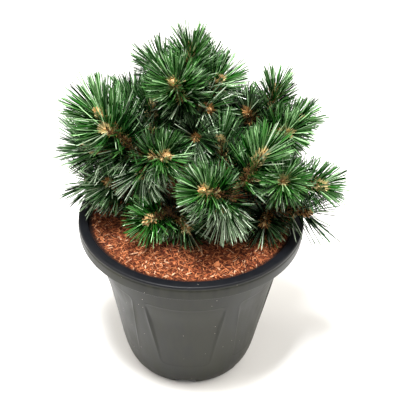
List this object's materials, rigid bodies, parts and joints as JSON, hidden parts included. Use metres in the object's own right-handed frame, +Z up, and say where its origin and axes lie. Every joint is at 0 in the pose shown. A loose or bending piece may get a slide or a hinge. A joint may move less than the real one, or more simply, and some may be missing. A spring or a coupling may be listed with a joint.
{
  "type": "potted conifer",
  "caption": "Compact, bushy dwarf pine in a round tapered nursery pot of grey plastic with recessed side panels and a skirted rim, topped with chopped-bark mulch.",
  "frame": {"origin": "centre of the pot's flat underside, on the ground", "axes": "+Z up; the side that the picture shows faces -Y, and +X is to the picture's right"},
  "size_m": [0.3733, 0.3215, 0.4946],
  "materials": {
    "pot_plastic": "moulded grey plastic with a fine grain and light handling marks",
    "mix": "moist chopped bark and coir fibre, orange brown",
    "bark": "rough, scaly grey-brown bark",
    "fresh": "fresh green needles, waxy sheen",
    "green": "mid green needles, waxy sheen",
    "old": "older, duller blue-green needles",
    "yellowed": "oldest needles, turning yellow green"
  },
  "bodies": {
    "root": {"pot": "pot_plastic", "potting_mix": "mix", "trunk": "bark", "bough_left": "bark", "bough_front": "bark", "bough_right_back": "bark", "bough_right": "bark", "bough_low_right": "bark", "bough_low_left": "bark", "bough_low_front": "bark", "bough_back_left": "bark", "bough_back_right": "bark", "shoot_crown_leader": "green", "shoot_crown_front": "fresh", "shoot_crown_right": "green", "shoot_crown_left_back": "green", "shoot_crown_right_back": "green", "shoot_crown_low_right": "old", "shoot_crown_back": "old", "shoot_mid_front": "old", "shoot_mid_left": "old", "shoot_mid_right": "old", "shoot_mid_back": "old", "shoot_left_out": "fresh", "shoot_left_side": "green", "shoot_left_upright": "green", "shoot_left_back": "green", "shoot_left_front": "fresh", "shoot_left_low": "old", "shoot_low_left_front": "old", "shoot_low_left_side": "old", "shoot_right_back_upright": "green", "shoot_right_back_inner": "old", "shoot_right_back_outer": "green", "shoot_right_back_front": "fresh", "shoot_right_back_low": "old", "shoot_front_right": "fresh", "shoot_front_upright": "green", "shoot_front_left": "fresh", "shoot_front_low": "old", "shoot_right_out": "green", "shoot_right_front": "fresh", "shoot_right_rear": "old", "shoot_low_right_out": "yellowed", "shoot_low_right_front": "old", "shoot_low_front_left": "fresh", "shoot_low_front_right": "yellowed", "shoot_low_front_pale": "yellowed", "shoot_back_left_out": "green", "shoot_back_left_rear": "green", "shoot_back_left_low": "old", "shoot_back_right_out": "green", "shoot_back_right_rear": "green", "shoot_back_right_up": "green"}
  },
  "joints": []
}
